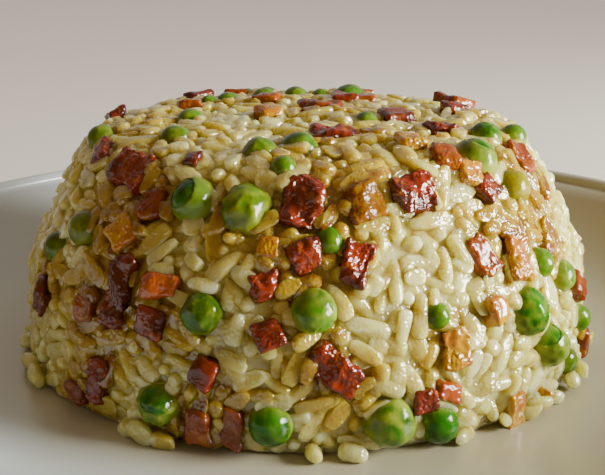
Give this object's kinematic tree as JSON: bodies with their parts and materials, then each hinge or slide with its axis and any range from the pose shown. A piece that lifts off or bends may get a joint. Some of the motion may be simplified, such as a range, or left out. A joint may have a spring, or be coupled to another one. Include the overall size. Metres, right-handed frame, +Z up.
{
  "type": "glutinous rice on a plate",
  "caption": "Low round mound of savoury glutinous rice turned out of a bowl, with green peas and diced sausage and ham, on a shallow white glazed plate.",
  "frame": {"origin": "middle of the plate's foot, on the surface that it stands on", "axes": "+Z up along the axis of the plate and the mound, -Y towards the side that the picture shows, +X towards the right of that side"},
  "size_m": [0.198, 0.198, 0.0522],
  "materials": {
    "plate": "smooth white glaze",
    "rice": "moist and translucent with an oily sheen",
    "pea": "moist glossy skin",
    "sausage": "browned and oily",
    "paprika_sausage": "moist, orange-red",
    "ham": "moist, pink",
    "crust": "golden brown and glossy",
    "fat": "clear golden, glossy"
  },
  "bodies": {
    "root": {"plate": "plate", "rice": "rice", "pea_01": "pea", "pea_02": "pea", "pea_03": "pea", "pea_04": "pea", "pea_05": "pea", "pea_06": "pea", "pea_07": "pea", "pea_08": "pea", "pea_09": "pea", "pea_10": "pea", "pea_11": "pea", "pea_12": "pea", "pea_13": "pea", "pea_14": "pea", "pea_15": "pea", "pea_16": "pea", "pea_17": "pea", "pea_18": "pea", "pea_19": "pea", "pea_20": "pea", "pea_21": "pea", "pea_22": "pea", "pea_23": "pea", "pea_24": "pea", "sausage_01": "sausage", "sausage_03": "sausage", "sausage_04": "sausage", "sausage_05": "sausage", "sausage_06": "sausage", "sausage_07": "sausage", "sausage_08": "sausage", "sausage_09": "sausage", "sausage_11": "sausage", "sausage_13": "sausage", "sausage_16": "sausage", "sausage_20": "sausage", "sausage_22": "sausage", "sausage_24": "sausage", "sausage_26": "sausage", "sausage_02": "paprika_sausage", "sausage_10": "paprika_sausage", "sausage_12": "paprika_sausage", "sausage_14": "paprika_sausage", "sausage_15": "paprika_sausage", "sausage_17": "paprika_sausage", "sausage_18": "paprika_sausage", "sausage_19": "paprika_sausage", "sausage_21": "paprika_sausage", "sausage_23": "paprika_sausage", "sausage_25": "paprika_sausage", "ham_01": "ham", "ham_02": "ham", "ham_03": "ham", "ham_04": "ham", "crust_01": "crust", "crust_02": "crust", "crust_03": "crust", "fat_01": "fat"}
  },
  "joints": []
}
